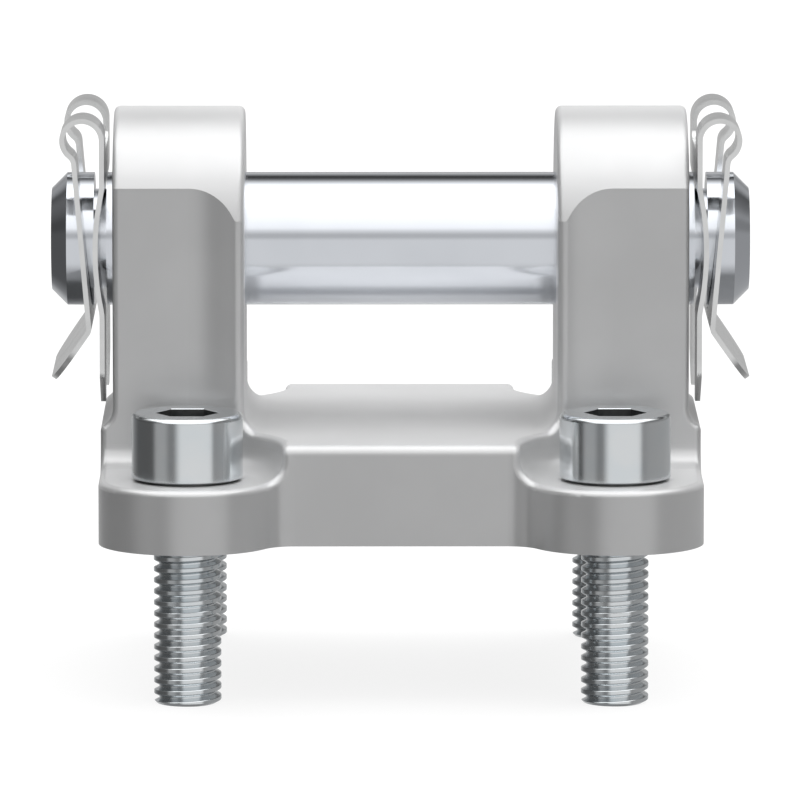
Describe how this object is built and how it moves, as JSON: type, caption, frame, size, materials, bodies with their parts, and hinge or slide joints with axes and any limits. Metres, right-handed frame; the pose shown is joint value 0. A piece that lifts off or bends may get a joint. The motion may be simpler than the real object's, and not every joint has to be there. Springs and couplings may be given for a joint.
{
  "type": "cylinder clevis mounting flange",
  "caption": "Rear clevis mounting for a pneumatic cylinder: a cast base with paired ears, a cross pin kept by folded spring clips, and socket cap screws in the corners.",
  "frame": {"origin": "centre of the mounting face, between the screws", "axes": "+Z out of the mounting face towards the ears, X along the clevis pin"},
  "size_m": [0.0628, 0.0538, 0.0513],
  "materials": {
    "cast_aluminium": "fine matt casting, even light grey",
    "polished_steel": "ground and polished bar",
    "spring_steel": "bright rolled strip",
    "plated_steel": "bright zinc plating"
  },
  "bodies": {
    "clevis": {"clevis_body": "cast_aluminium", "front_left_cap_screw": "plated_steel", "back_left_cap_screw": "plated_steel", "front_right_cap_screw": "plated_steel", "back_right_cap_screw": "plated_steel"},
    "pin": {"clevis_pin": "polished_steel"},
    "left_clip": {"left_clip": "spring_steel"},
    "right_clip": {"right_clip": "spring_steel"}
  },
  "joints": [
    {"name": "pin_turn", "type": "hinge", "parent": "clevis", "child": "pin", "pos_m": [0, 0, 0.025], "axis": [1, 0, 0], "continuous": true},
    {"name": "left_clip_turn", "type": "hinge", "parent": "pin", "child": "left_clip", "pos_m": [0, 0, 0.025], "axis": [1, 0, 0], "continuous": true},
    {"name": "right_clip_turn", "type": "hinge", "parent": "pin", "child": "right_clip", "pos_m": [0, 0, 0.025], "axis": [1, 0, 0], "continuous": true}
  ]
}
